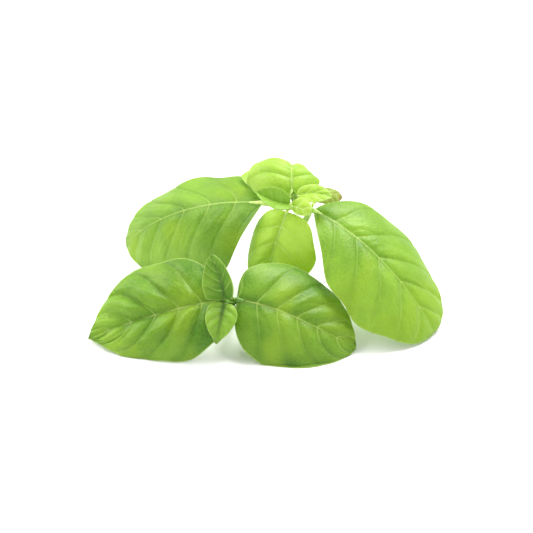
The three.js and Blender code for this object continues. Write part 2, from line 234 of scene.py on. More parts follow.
# Each half is an arc that leaves the rib at its lift and turns down by its droop.
rise = add(leaf, "ShaderNodeMix", on_right, given["lift left"], given["lift right"])
bend = add(leaf, "ShaderNodeMix", on_right, given["droop left"], given["droop right"])
bend = add(leaf, "ShaderNodeMath", bend, half, operation="DIVIDE")
bend = add(leaf, "ShaderNodeMath", bend, -1.0, operation="MULTIPLY")
angle = add(leaf, "ShaderNodeMath", bend, reach, rise, operation="MULTIPLY_ADD")
sine, rise_sine = (add(leaf, "ShaderNodeMath", which, operation="SINE") for which in (angle, rise))
cosine, rise_cosine = (add(leaf, "ShaderNodeMath", which, operation="COSINE") for which in (angle, rise))
sideways = add(leaf, "ShaderNodeMath", sine, rise_sine, operation="SUBTRACT")
sideways = add(leaf, "ShaderNodeMath", sideways, bend, operation="DIVIDE")
sideways = add(leaf, "ShaderNodeMath", sideways, hand, operation="MULTIPLY")
upwards = add(leaf, "ShaderNodeMath", rise_cosine, cosine, operation="SUBTRACT")
upwards = add(leaf, "ShaderNodeMath", upwards, bend, operation="DIVIDE")

# Panels stand up between the side veins, unevenly, and most of all about a third of the way out. The side
# veins wander a little on their way to the edge.
vein_wander = 0.3  # from side to side at the edge, at most, as a share of the leaf's length
across_veins = 0.75  # the veins slant, so the way across to one is this share of the way along the rib
height_swings = 1.7  # how often the panels' height rises and falls along a leaf
swing_depth = 0.25
right_swing_ahead = 0.4  # in swings
crest_power = 0.6  # sets the panels' crest a third of the way out
wander = add(leaf, "ShaderNodeCombineXYZ", flat["X"], flat["Y"], given["seed"])
wander = add(leaf, "ShaderNodeTexNoise", {"Vector": wander, "Scale": 1.0, "Detail": 0.0})
wander = add(leaf, "ShaderNodeMath", wander, 0.5, operation="SUBTRACT")
wander = add(leaf, "ShaderNodeMath", wander, out, operation="MULTIPLY")
wander = add(leaf, "ShaderNodeMath", wander, vein_wander, start, operation="MULTIPLY_ADD")
panel = add(leaf, "ShaderNodeMath", wander, given["panels"], operation="MULTIPLY")
to_side_vein = add(leaf, "ShaderNodeMath", panel, 0.5, operation="PINGPONG")
to_side_vein = add(leaf, "ShaderNodeMath", to_side_vein, given["length"], operation="MULTIPLY")
to_side_vein = add(leaf, "ShaderNodeMath", to_side_vein, given["panels"], operation="DIVIDE")
to_side_vein = add(leaf, "ShaderNodeMath", to_side_vein, spread, operation="MULTIPLY")
to_side_vein = add(leaf, "ShaderNodeMath", to_side_vein, across_veins, operation="MULTIPLY")
panel = add(leaf, "ShaderNodeMath", panel, math.pi, operation="MULTIPLY")
panel = add(leaf, "ShaderNodeMath", panel, operation="SINE")
panel = add(leaf, "ShaderNodeMath", panel, operation="ABSOLUTE")
right_start = right_swing_ahead / height_swings
uneven = add(leaf, "ShaderNodeMath", on_right, right_start, start, operation="MULTIPLY_ADD")
uneven = add(leaf, "ShaderNodeMath", uneven, height_swings * 2 * math.pi, operation="MULTIPLY")
uneven = add(leaf, "ShaderNodeMath", uneven, operation="SINE")
uneven = add(leaf, "ShaderNodeMath", uneven, swing_depth, 1 - swing_depth, operation="MULTIPLY_ADD")
crown = add(leaf, "ShaderNodeMath", out, crest_power, operation="POWER")
crown = add(leaf, "ShaderNodeMath", crown, math.pi, operation="MULTIPLY")
crown = add(leaf, "ShaderNodeMath", crown, operation="SINE")
ends = add(leaf, "ShaderNodeMath", start, math.pi, operation="MULTIPLY")
ends = add(leaf, "ShaderNodeMath", ends, operation="SINE")
ends = add(leaf, "ShaderNodeMath", ends, 0.0, operation="MAXIMUM")
ends = add(leaf, "ShaderNodeMath", ends, 0.5, operation="POWER")
puff = given["puff"]
for share_of_puff in (panel, uneven, crown, ends):
    puff = add(leaf, "ShaderNodeMath", puff, share_of_puff, operation="MULTIPLY")

# The edge waves up and down, and is still at the base and the tip, where the two halves meet in a point.
full_wave_from = 0.2  # share of the full width
ripple = add(leaf, "ShaderNodeMath", turn, operation="SINE")
clear_of_ends = add(leaf, "ShaderNodeMapRange", width, 0.0, full_wave_from)
for share_of_wave in (given["wave height"], out, out, out, clear_of_ends):
    ripple = add(leaf, "ShaderNodeMath", ripple, share_of_wave, operation="MULTIPLY")

# Puckers about 8 mm wide and 13 mm long lie along the side veins, and are highest where the panels are. The
# midrib is a low ridge in a groove, and each side vein lies in a narrower groove.
puckers_per_metre = 130.0
pucker_shape = 0.6  # their width as a share of their length
down_leaf = add(leaf, "ShaderNodeMath", start, given["length"], operation="MULTIPLY")
over_leaf = add(leaf, "ShaderNodeMath", reach, hand, operation="MULTIPLY")
over_leaf = add(leaf, "ShaderNodeMath", over_leaf, pucker_shape, operation="MULTIPLY")
place = add(leaf, "ShaderNodeCombineXYZ", down_leaf, over_leaf, given["seed"])
crinkle = {"Vector": place, "Scale": puckers_per_metre, "Detail": 2.0, "Roughness": 0.45, "Distortion": 0.9}
crinkle = add(leaf, "ShaderNodeTexNoise", crinkle)
crinkle = add(leaf, "ShaderNodeMath", crinkle, 0.5, operation="SUBTRACT")
for share_of_crinkle in (given["crinkle"], ends, crown):
    crinkle = add(leaf, "ShaderNodeMath", crinkle, share_of_crinkle, operation="MULTIPLY")
clear_of_rib = add(leaf, "ShaderNodeMapRange", reach, 0.3 * MM, 2.2 * MM)
grooves = []
for away, groove_width, rise_in_depths, kept in (
    (reach, 1.7 * MM, -1.5, 1.0), (reach, 0.35 * MM, 0.8, 1.0), (to_side_vein, MM, -1.0, clear_of_rib),
):
    groove = add(leaf, "ShaderNodeMath", away, groove_width, operation="DIVIDE")
    groove = add(leaf, "ShaderNodeMath", groove, groove, operation="MULTIPLY")
    groove = add(leaf, "ShaderNodeMath", groove, -1.0, operation="MULTIPLY")
    groove = add(leaf, "ShaderNodeMath", groove, operation="EXPONENT")
    for share_of_depth in (given["vein depth"], ends, kept):
        groove = add(leaf, "ShaderNodeMath", groove, share_of_depth, operation="MULTIPLY")
    grooves.append(add(leaf, "ShaderNodeMath", groove, rise_in_depths, operation="MULTIPLY"))
for relief in (puff, ripple, crinkle, *grooves):
    upwards = add(leaf, "ShaderNodeMath", upwards, relief, operation="ADD")

# The point in the bunch. A blade that meets the table lies on it.
anywhere = -9.0  # less than any x or y in the bunch, in m
aside = add(leaf, "ShaderNodeVectorMath", rib["left"], sideways, operation="SCALE")
raised = add(leaf, "ShaderNodeVectorMath", rib["up"], upwards, operation="SCALE")
spot = add(leaf, "ShaderNodeVectorMath", rib["at"], aside, operation="ADD")
spot = add(leaf, "ShaderNodeVectorMath", spot, raised, operation="ADD")
half_thick = add(leaf, "ShaderNodeMath", given["thickness"], 0.5, operation="MULTIPLY")
lowest = add(leaf, "ShaderNodeCombineXYZ", anywhere, anywhere, half_thick)
spot = add(leaf, "ShaderNodeVectorMath", spot, lowest, operation="MAXIMUM")

# The finish reads how far a point is from its side vein and from the midrib, its share of the length, how
# far it is from the edge, its leaf's tone for age and painted light, and how much painted light changes it
# towards its tip.
sheet_weld = 0.00002  # points of the sheet this close become one, as a share of the leaf's length
measured = add(leaf, "ShaderNodeCombineXYZ", to_side_vein, reach, share)
veins = {"Geometry": grid, "Name": "veins", "Value": measured}
sheet = add(leaf, "GeometryNodeStoreNamedAttribute", veins, data_type="FLOAT_VECTOR")
to_edge = add(leaf, "ShaderNodeMath", 1.0, out, operation="SUBTRACT")
to_edge = add(leaf, "ShaderNodeMath", to_edge, half, operation="MULTIPLY")
to_edge = add(leaf, "ShaderNodeMath", to_edge, width, operation="MULTIPLY")
measured = add(leaf, "ShaderNodeCombineXYZ", to_edge, given["age_and_light"], given["tip light"])
edge = {"Geometry": sheet, "Name": "edge", "Value": measured}
sheet = add(leaf, "GeometryNodeStoreNamedAttribute", edge, data_type="FLOAT_VECTOR")
sheet = add(leaf, "GeometryNodeSetPosition", {"Geometry": sheet, "Position": spot})
weld = add(leaf, "ShaderNodeMath", given["length"], sheet_weld, operation="MULTIPLY")
sheet = add(leaf, "GeometryNodeMergeByDistance", {"Geometry": sheet, "Distance": weld})

# The sheet gets its thickness: an under side, and an upper side pushed out from it with its rim.
rim_weld = 0.000001  # the same where the two sides meet
sink = add(leaf, "ShaderNodeMath", half_thick, -1.0, operation="MULTIPLY")
sink = add(leaf, "ShaderNodeVectorMath", add(leaf, "GeometryNodeInputNormal"), sink, operation="SCALE")
sheet = add(leaf, "GeometryNodeSetPosition", {"Geometry": sheet, "Offset": sink})
upper = {"Mesh": sheet, "Offset Scale": given["thickness"], "Individual": False}
upper = add(leaf, "GeometryNodeExtrudeMesh", upper, mode="FACES")
upper = {"Geometry": upper, "Name": "under side", "Value": 0.0}
upper = add(leaf, "GeometryNodeStoreNamedAttribute", upper, data_type="FLOAT")
under = {"Geometry": add(leaf, "GeometryNodeFlipFaces", sheet), "Name": "under side", "Value": 1.0}
under = add(leaf, "GeometryNodeStoreNamedAttribute", under, data_type="FLOAT")
blade = add(leaf, "GeometryNodeJoinGeometry", [upper, under])
weld = add(leaf, "ShaderNodeMath", given["length"], rim_weld, operation="MULTIPLY")
blade = add(leaf, "GeometryNodeMergeByDistance", {"Geometry": blade, "Distance": weld})
blade = add(leaf, "GeometryNodeSetMaterial", {"Geometry": blade, "Material": given["blade finish"]})

# The stalk and the raised rib are one tapering rod: up the stalk first, and then on under the blade.
rod_points = 48
stalk_part = 0.25  # share of the points that lie on the stalk
fast_taper = 0.6  # power by which the rib thins most near its base
rib_end_radius = 0.12 * MM
under_line = 0.1 * MM  # how far the rib's upper side lies under the midrib's line
under_veins = 0.35  # and further by this share of the veins' depth
sunk_by = 0.12  # share of the blade by which the rib has sunk so far
step = add(leaf, "GeometryNodeInputIndex")
step = add(leaf, "ShaderNodeMath", step, 1 / (rod_points - 1), operation="MULTIPLY")
up_stalk = add(leaf, "ShaderNodeMapRange", step, 0.0, stalk_part)
under_blade = add(leaf, "ShaderNodeMapRange", step, stalk_part, 1.0, 0.0, rib_reach)
stalk_handles = [given[name] for name in ("stalk", "stalk handle", "blade handle", "base")]
stalk_at = add(leaf, "GeometryNodeGroup", up_stalk, *stalk_handles, node_tree=midrib)
rib = add(leaf, "GeometryNodeGroup", under_blade, *handles, node_tree=midrib).outputs
on_rib = add(leaf, "ShaderNodeMath", step, stalk_part, operation="GREATER_THAN")
rod_at = add(leaf, "ShaderNodeMix", on_rib, stalk_at, rib["at"], data_type="VECTOR")
taper = add(leaf, "ShaderNodeMath", under_blade, 1 / rib_reach, operation="MULTIPLY")
taper = add(leaf, "ShaderNodeMath", taper, fast_taper, operation="POWER")
rod_radius = add(leaf, "ShaderNodeMix", taper, given["stalk radius"], rib_end_radius)
buried = add(leaf, "ShaderNodeMath", rod_radius, under_line, operation="ADD")
buried = add(leaf, "ShaderNodeMath", given["vein depth"], under_veins, buried, operation="MULTIPLY_ADD")
past_base = add(leaf, "ShaderNodeMapRange", under_blade, 0.0, sunk_by)
buried = add(leaf, "ShaderNodeMath", buried, past_base, operation="MULTIPLY")
buried = add(leaf, "ShaderNodeMath", buried, -1.0, operation="MULTIPLY")
buried = add(leaf, "ShaderNodeVectorMath", rib["up"], buried, operation="SCALE")
rod_at = add(leaf, "ShaderNodeVectorMath", rod_at, buried, operation="ADD")
rod_low = add(leaf, "ShaderNodeCombineXYZ", anywhere, anywhere, rod_radius)
rod_at = add(leaf, "ShaderNodeVectorMath", rod_at, rod_low, operation="MAXIMUM")
rod = add(leaf, "GeometryNodeMeshLine", {"Count": rod_points})
rod = add(leaf, "GeometryNodeSetPosition", {"Geometry": rod, "Position": rod_at})
rod = add(leaf, "GeometryNodeStoreNamedAttribute", rod, None, "rod radius", rod_radius, data_type="FLOAT")
rod = add(leaf, "GeometryNodeMeshToCurve", rod)
rod_radius = add(leaf, "GeometryNodeInputNamedAttribute", {"Name": "rod radius"}, data_type="FLOAT")
ring = add(leaf, "GeometryNodeCurvePrimitiveCircle", {"Resolution": 12, "Radius": 1.0})
rod = {"Curve": rod, "Profile Curve": ring, "Scale": rod_radius, "Fill Caps": True}
rod = add(leaf, "GeometryNodeCurveToMesh", rod)
rod = add(leaf, "GeometryNodeSetMaterial", {"Geometry": rod, "Material": given["stalk finish"]})
whole = add(leaf, "GeometryNodeJoinGeometry", [blade, rod])
add(leaf, "NodeGroupOutput", add(leaf, "GeometryNodeSetShadeSmooth", {"Geometry": whole}))


def grow(node, tree, sizes):
    """Grows the piece of a node from its tree, with sizes in metres and radians, as a plain mesh."""
    piece = bpy.data.objects.new(node.replace("_", "-"), bpy.data.meshes.new(node))
    bpy.context.scene.collection.objects.link(piece)
    grower = piece.modifiers.new("grown", "NODES")
    grower.node_group = tree
    for socket in tree.interface.items_tree:
        if socket.in_out == "INPUT" and socket.name in sizes:
            grower[socket.identifier] = sizes[socket.name]
    graph = bpy.context.evaluated_depsgraph_get()
    grown = bpy.data.meshes.new_from_object(
        piece.evaluated_get(graph), preserve_all_data_layers=True, depsgraph=graph
    )
    piece.modifiers.remove(grower)
    piece.data = grown
    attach(piece, "root")
    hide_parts(node)
    return piece


def grow_leaf(
    node, finish, rib, face, half, lift, droop, widest, blunt, panels, puff, wave, stalk, stalk_radius,
    rows=220, columns=101, thickness=blade_thickness, crinkle=1.2, age_and_light=0.0, vein_depth=0.28,
    tip_light=0.45, stalk_finish=None,
):
    """Grows one leaf, in mm and degrees. Pairs are left and right, or base and tip."""
    base, base_handle, tip_handle, tip = (Vector(point) - middle for point in rib)
    foot = Vector(stalk) - middle
    blade_handle = base - (base_handle - base).normalized() * (base - foot).length / 3
    steps = interpolate_bezier(base, base_handle, tip_handle, tip, 33)
    length = sum((ahead - behind).length for behind, ahead in zip(steps, steps[1:]))
    points = {
        "base": base, "base handle": base_handle, "tip handle": tip_handle, "tip": tip,
        "stalk": foot, "stalk handle": foot.lerp(blade_handle, 0.6), "blade handle": blade_handle,
    }
    sizes = {name: tuple(point * MM) for name, point in points.items()}
    sizes |= {"face at base": tuple(Vector(face[0]).normalized())}
    sizes |= {"face at tip": tuple(Vector(face[1]).normalized())}
    sizes |= {"length": length * MM, "half left": half[0] * MM, "half right": half[1] * MM}
    sizes |= {"lift left": math.radians(lift[0]), "lift right": math.radians(lift[1])}
    sizes |= {"droop left": math.radians(droop[0]), "droop right": math.radians(droop[1])}
    sizes |= {"swell left": math.log(0.5) / math.log(widest[0])}
    sizes |= {"swell right": math.log(0.5) / math.log(widest[1])}
    sizes |= {"blunt base": blunt[0], "blunt tip": blunt[1], "vein depth": vein_depth * MM, "age_and_light": age_and_light}
    sizes |= {"panels": float(panels), "puff": puff * MM, "crinkle": crinkle * MM}
    sizes |= {"wave height": wave[0] * MM, "wave count": float(wave[1]), "wave start": float(wave[2])}
    sizes |= {"stalk radius": stalk_radius * MM, "thickness": thickness * MM, "seed": length * 0.37}
    sizes |= {"rows": rows, "columns": columns, "tip light": tip_light}
    sizes |= {"blade finish": finish, "stalk finish": stalk_finish or pale_and_lit_stem_skin}
    return grow(node, leaf, sizes)


def leaf_finish(name, deep, light, painted_glow_colour, vein, under, glow, let_through=0.42, browned=None, crease_shade=None):
    """A blade's skin: blotched green with pale veins in a net, a dull under side, light let through, and
    painted glow and shade.
    """
    finish = bpy.data.materials.new(name)
    finish.use_nodes = True
    tree = finish.node_tree
    tree.nodes.clear()
    place = add(tree, "ShaderNodeTexCoord").outputs["Object"]
    measured = add(tree, "ShaderNodeAttribute", attribute_name="veins").outputs["Vector"]
    to_side_vein, to_midrib, share = add(tree, "ShaderNodeSeparateXYZ", measured).outputs
    measured = add(tree, "ShaderNodeAttribute", attribute_name="edge").outputs["Vector"]
    to_edge, age_and_light, tip_light = add(tree, "ShaderNodeSeparateXYZ", measured).outputs

    # Blotches about 14 mm wide lie on a green that is lighter in young leaves and where a leaf gets painted
    # light, and in most towards the tip, also painted light.
    blotch = add(tree, "ShaderNodeTexNoise", {"Vector": place, "Scale": 70.0, "Detail": 3.0})
    blotch = add(tree, "ShaderNodeMapRange", blotch, 0.35, 0.65)
    # Painted light: each leaf's tone and its tip are made lighter or darker as light falls on it, beside the
    # real lightness of young leaves.
    tone = add(tree, "ShaderNodeMath", blotch, 0.45, age_and_light, operation="MULTIPLY_ADD")
    tone = add(tree, "ShaderNodeMath", share, tip_light, tone, operation="MULTIPLY_ADD")
    # Towards its stalk a grown blade has painted shade, where the leaves meet in a cleft at the node. Along
    # its veins it has painted shade in the valleys, real streaks 0.6 mm wide and 5 mm long, and yellower
    # patches about 21 mm wide, a painted glow of light let through.
    # Painted shade near the stalk, where the leaf bases meet at the node; the lower a leaf's tone, the
    # stronger it is.
    grown = add(tree, "ShaderNodeMath", 0.25, age_and_light, operation="SUBTRACT")
    painted_shade_by_stalk = add(tree, "ShaderNodeMapRange", share, 0.0, 0.16, -1.3, 0.0)
    tone = add(tree, "ShaderNodeMath", grown, painted_shade_by_stalk, tone, operation="MULTIPLY_ADD")
    # Painted shade in the valleys along the side veins and the midrib.
    for away, from_here, to_here, darker in ((to_side_vein, 0.3, 2.4, 0.15), (to_midrib, 0.7, 3.5, 0.2)):
        painted_valley_shade = add(tree, "ShaderNodeMapRange", away, from_here * MM, to_here * MM, -darker, 0.0)
        tone = add(tree, "ShaderNodeMath", tone, painted_valley_shade, operation="ADD")
    streak = add(tree, "ShaderNodeMath", to_midrib, 0.12, operation="MULTIPLY")
    streak = add(tree, "ShaderNodeCombineXYZ", to_side_vein, streak, share)
    streak = add(tree, "ShaderNodeTexNoise", {"Vector": streak, "Scale": 1600.0, "Detail": 1.0})
    streak = add(tree, "ShaderNodeMath", streak, 0.5, operation="SUBTRACT")
    tone = add(tree, "ShaderNodeMath", streak, 0.45, tone, operation="MULTIPLY_ADD", use_clamp=True)
    colour = add(tree, "ShaderNodeMix", tone, linear(deep), linear(light), data_type="RGBA")
    # Painted glow: yellower patches where light let through the blade lights it up.
    painted_glow_patch = {"Vector": place, "Scale": 48.0, "Detail": 1.0, "Distortion": 0.5}
    painted_glow_patch = add(tree, "ShaderNodeTexNoise", painted_glow_patch)
    painted_glow_patch = add(tree, "ShaderNodeMapRange", painted_glow_patch, 0.5, 0.7, 0.0, 0.55)
    colour = add(tree, "ShaderNodeMix", painted_glow_patch, colour, linear(painted_glow_colour), data_type="RGBA")

    # The midrib is about 0.7 mm wide and narrows to the tip, the side veins fade outwards, the net between
    # them has meshes of about 1.7 mm, coarse enough to show, and the edge is a pale line of painted glow.
    narrowed = add(tree, "ShaderNodeMath", share, 0.3 * MM, to_midrib, operation="MULTIPLY_ADD")
    midrib_line = add(tree, "ShaderNodeMapRange", narrowed, 0.2 * MM, 0.5 * MM, 0.8, 0.0)
    side_line = add(tree, "ShaderNodeMapRange", to_side_vein, 0.1 * MM, 0.4 * MM, 0.6, 0.0)
    fading = add(tree, "ShaderNodeMapRange", to_midrib, 0.0, 18 * MM, 1.0, 0.15)
    side_line = add(tree, "ShaderNodeMath", side_line, fading, operation="MULTIPLY")
    net = {"Vector": place, "Scale": 600.0, "Randomness": 0.9}
    net = add(tree, "ShaderNodeTexVoronoi", net, feature="DISTANCE_TO_EDGE")
    net_line = add(tree, "ShaderNodeMapRange", net, 0.0, 0.14, 0.12, 0.0)
    # Painted glow along the thin edge, where light gets through.
    painted_rim_glow = add(tree, "ShaderNodeMapRange", to_edge, 0.15 * MM, 0.6 * MM, 0.75, 0.0)
    line = add(tree, "ShaderNodeMath", side_line, net_line, operation="MAXIMUM")
    line = add(tree, "ShaderNodeMath", line, painted_rim_glow, operation="MAXIMUM")
    colour = add(tree, "ShaderNodeMix", line, colour, linear(vein), data_type="RGBA")
    colour = add(tree, "ShaderNodeMix", midrib_line, colour, linear(vein), data_type="RGBA")
    if crease_shade:
        # A blade still folded at its midrib has painted shade in the fold, most of all near its stalk.
        depth = add(tree, "ShaderNodeMapRange", to_midrib, 0.2 * MM, 1.3 * MM, 0.9, 0.0)
        opened = add(tree, "ShaderNodeMapRange", share, 0.25, 0.85, 1.0, 0.15)
        depth = add(tree, "ShaderNodeMath", depth, opened, operation="MULTIPLY")
        colour = add(tree, "ShaderNodeMix", depth, colour, linear(crease_shade), data_type="RGBA")

    under_side = add(tree, "ShaderNodeAttribute", attribute_name="under side").outputs["Fac"]
    dull = add(tree, "ShaderNodeMath", under_side, 0.7, operation="MULTIPLY")
    colour = add(tree, "ShaderNodeMix", dull, colour, linear(under), data_type="RGBA")
    if browned:
        # The dry end of an old leaf is brown up to a ragged line.
        ragged = add(tree, "ShaderNodeMath", blotch, 0.12, share, operation="MULTIPLY_ADD")
        ragged = add(tree, "ShaderNodeMapRange", ragged, 0.92, 1.06)
        colour = add(tree, "ShaderNodeMix", ragged, colour, linear(browned), data_type="RGBA")

    # The net is sunk a little into the skin, which is waxy. Its short fine hairs are pale at a slant.
    relief = add(tree, "ShaderNodeMapRange", net, 0.0, 0.3)
    relief = add(tree, "ShaderNodeBump", {"Strength": 0.35, "Distance": 0.15 * MM, "Height": relief})
    skin = {"Base Color": colour, "Roughness": 0.42, "IOR": 1.46, "Normal": relief}
    skin |= {"Sheen Weight": 0.3, "Sheen Roughness": 0.45, "Sheen Tint": linear("#dcf2dc")}
    skin = add(tree, "ShaderNodeBsdfPrincipled", skin)
    lit = add(tree, "ShaderNodeMix", 0.6, colour, linear(glow), data_type="RGBA")
    lit = add(tree, "ShaderNodeBsdfTranslucent", {"Color": lit, "Normal": relief})
    add(tree, "ShaderNodeOutputMaterial", add(tree, "ShaderNodeMixShader", let_through, skin, lit))
    return finish


def stem_finish(name, dark, light):
    """A stem's or stalk's skin: moist, with light inside it and streaks 1 mm wide and 7 mm high."""
    finish = bpy.data.materials.new(name)
    finish.use_nodes = True
    tree = finish.node_tree
    tree.nodes.clear()
    place = add(tree, "ShaderNodeTexCoord").outputs["Object"]
    drawn_out = add(tree, "ShaderNodeVectorMath", place, (1.0, 1.0, 0.15), operation="MULTIPLY")
    streak = add(tree, "ShaderNodeTexNoise", {"Vector": drawn_out, "Scale": 900.0, "Detail": 2.0})
    streak = add(tree, "ShaderNodeMapRange", streak, 0.35, 0.65)
    streak = add(tree, "ShaderNodeMix", streak, linear(dark), linear(light), data_type="RGBA")
    moist = {"Base Color": streak, "Roughness": 0.4, "Subsurface Weight": 0.25, "Subsurface Scale": 0.6 * MM}
    add(tree, "ShaderNodeOutputMaterial", add(tree, "ShaderNodeBsdfPrincipled", moist))
    return finish


# Stems and stalks look moist: pale on the back sprig and lightened there as painted light, and on the front
# one as green as the leaves and darker as painted shade at its node. A grown blade's thin wax gives it soft
# broad highlights, and its veins are pale on a deep green.
# A pale stem skin lightened as painted light, and a green one darkened as painted shade at the front node.
pale_and_lit_stem_skin = stem_finish("basil stem skin, pale", "#b2d35e", "#d3e68c")
green_and_shaded_stem_skin = stem_finish("basil stem skin, green", "#4a7814", "#74a02e")
deep_blade = leaf_finish(
    "grown basil leaf, deep green", "#467c06", "#9cc43a", "#a2c026", "#c4dc70", "#9cbb60", "#b4da24"
)

grow_leaf(
    "front_leaf_left", deep_blade,
    rib=[(-16.6, -31, 21), (-32, -34, 20.8), (-54, -31, 11), (-69.6, -27.6, 1.6)],
    face=[(0, -0.72, 0.7), (-0.1, -0.6, 0.75)], half=(20.4, 22.5), lift=(14, 16), droop=(58, 50),
    widest=(0.38, 0.46), blunt=(0.42, 0.95), panels=6, puff=2, wave=(0.5, 2.5, 0.1),
    stalk=(-14, -29.2, 18.3), stalk_radius=1, crinkle=4.0, age_and_light=-0.3, vein_depth=0.4,
    tip_light=1.1, stalk_finish=green_and_shaded_stem_skin,
)
grow_leaf(
    "front_leaf_right", deep_blade,
    rib=[(-11.3, -30.7, 21), (4, -34, 21), (20, -36, 11.5), (34.6, -34.8, 1.6)],
    face=[(0.1, -0.75, 0.65), (0.2, -0.6, 0.75)], half=(22, 24), lift=(10, 8), droop=(55, 50),
    widest=(0.44, 0.5), blunt=(0.28, 0.78), panels=6, puff=1, wave=(0.4, 2, 0.4),
    stalk=(-12.9, -29.8, 19.3), stalk_radius=1, crinkle=1.8, age_and_light=0.22, vein_depth=0.26,
    tip_light=-0.1, stalk_finish=green_and_shaded_stem_skin,
)

# Front sprig, the two small leaves.
# Two young leaves grow from the same node as the large pair, one standing up and one hanging forward.
# They are thin and still folded, with painted shade in the crease, and each has a short thin stalk of its
# own.
fresh_colours = ("#4a800c", "#98c43c", "#9ec230", "#bad86a", "#a0c064", "#b8de2c")
folded_blade = leaf_finish("young basil leaf, folded", *fresh_colours, crease_shade="#31600c")

grow_leaf(
    "front_small_leaf_upper", folded_blade,
    rib=[(-16.2, -32.3, 22.3), (-16.2, -31.8, 28), (-18.5, -31, 35), (-20.7, -31, 41)],
    face=[(0, -1, 0.3), (0.1, -1, 0.1)], half=(7.8, 4.1), lift=(25, 25), droop=(30, 30),
    widest=(0.3, 0.32), blunt=(0.26, 0.5), panels=5, puff=0.3, wave=(0.2, 2, 0),
    stalk=(-13.8, -30.9, 20.5), stalk_radius=0.4, rows=90, columns=49, thickness=0.34, crinkle=1.8,
    age_and_light=-0.2, vein_depth=0.32, stalk_finish=green_and_shaded_stem_skin,
)
grow_leaf(
    "front_small_leaf_lower", folded_blade,
    rib=[(-16, -34.2, 21.3), (-17, -38, 20.4), (-18, -41, 15.5), (-19.2, -44, 9.3)],
    face=[(0, -0.5, 0.9), (0, -0.9, 0.5)], half=(6.1, 6.2), lift=(20, 20), droop=(40, 40),
    widest=(0.4, 0.4), blunt=(0.34, 0.9), panels=5, puff=0.5, wave=(0.2, 2, 0.3),
    stalk=(-12.9, -31.4, 20.1), stalk_radius=0.4, rows=90, columns=49, thickness=0.34, crinkle=2.4,
    age_and_light=0.55, vein_depth=0.42, stalk_finish=green_and_shaded_stem_skin,
)

# Back sprig, the two large leaves.
# The back sprig's oldest pair arches out to both sides and comes down to the table.
# The left one shows its whole upper side, and the right one is folded and lit through its near half.
grow_leaf(
    "back_leaf_left", deep_blade,
    rib=[(-1.8, 7, 43), (-22, 13.5, 42.2), (-47, 25.5, 28), (-59.2, 36, 8)],
    face=[(-0.1, -0.15, 1), (-0.7, -0.35, 0.6)], half=(31, 19.5), lift=(-19, 4), droop=(62, 24),
    widest=(0.5, 0.42), blunt=(0.64, 0.42), panels=6, puff=0.8, wave=(0.7, 3, 0.2),
    stalk=(15, 6, 42.5), stalk_radius=1.1, crinkle=1.6, age_and_light=0.2,
)
grow_leaf(
    "back_leaf_right", deep_blade,
    rib=[(18.6, 2.4, 42), (34, -7, 40), (55.5, -19, 22.5), (65.8, -23.5, 1.5)],
    face=[(0.2, -0.4, 0.9), (0.6, -0.4, 0.7)], half=(23, 26), lift=(10, 0), droop=(40, 45),
    widest=(0.5, 0.6), blunt=(0.68, 0.4), panels=6, puff=0.8, wave=(0.45, 3, 0.5),
    stalk=(15.5, 5, 42.5), stalk_radius=1.1, crinkle=1.2, age_and_light=0.35,
)

# Back sprig, the middle and top leaves.
# The second pair stands across the first: one hangs forward between the sprigs, one stands up.
# They are younger, thinner and yellower, and the light comes through them.
young_blade = leaf_finish(
    "young basil leaf, yellow-green", "#86b41e", "#d6ee74", "#c4da40", "#e0f29c", "#b4d076", "#d8f03e",
    let_through=0.52,
)

grow_leaf(
    "back_leaf_middle", young_blade,
    rib=[(7.9, -0.3, 42.9), (4.5, -6, 35.5), (0, -6, 22), (-1, -3, 8)],
    face=[(-0.3, -0.8, 0.6), (-0.4, -1, 0)], half=(17.5, 14.2), lift=(12, 12), droop=(55, 78),
    widest=(0.5, 0.5), blunt=(0.3, 0.7), panels=5, puff=0.8, wave=(0.4, 2, 0),
    stalk=(12.2, 2.6, 43.2), stalk_radius=0.7, rows=150, columns=81, thickness=0.36, crinkle=2.0,
    age_and_light=0.35, vein_depth=0.34, tip_light=0.0,
)
grow_leaf(
    "back_leaf_top", young_blade,
    rib=[(10, 6.4, 47), (9.8, 12, 58), (10, 22, 57), (10.5, 30, 43)],
    face=[(-0.1, -0.9, 0.5), (0.25, 0.8, 0.6)], half=(20.4, 12.6), lift=(20, 6), droop=(84, 60),
    widest=(0.28, 0.34), blunt=(0.3, 0.75), panels=5, puff=1, wave=(0.5, 2, 0.2),
    stalk=(11.8, 4.4, 45.6), stalk_radius=0.9, rows=150, columns=81, thickness=0.36, crinkle=1.2,
    age_and_light=0.15, vein_depth=0.25,
)

# Back sprig, the three small leaves at its tip.
# The youngest leaves stand around the growing tip on threads of stalks.
# They are folded along the midrib, and their blades are thin enough to glow.
fresh_blade = leaf_finish("young basil leaf, fresh green", *fresh_colours)

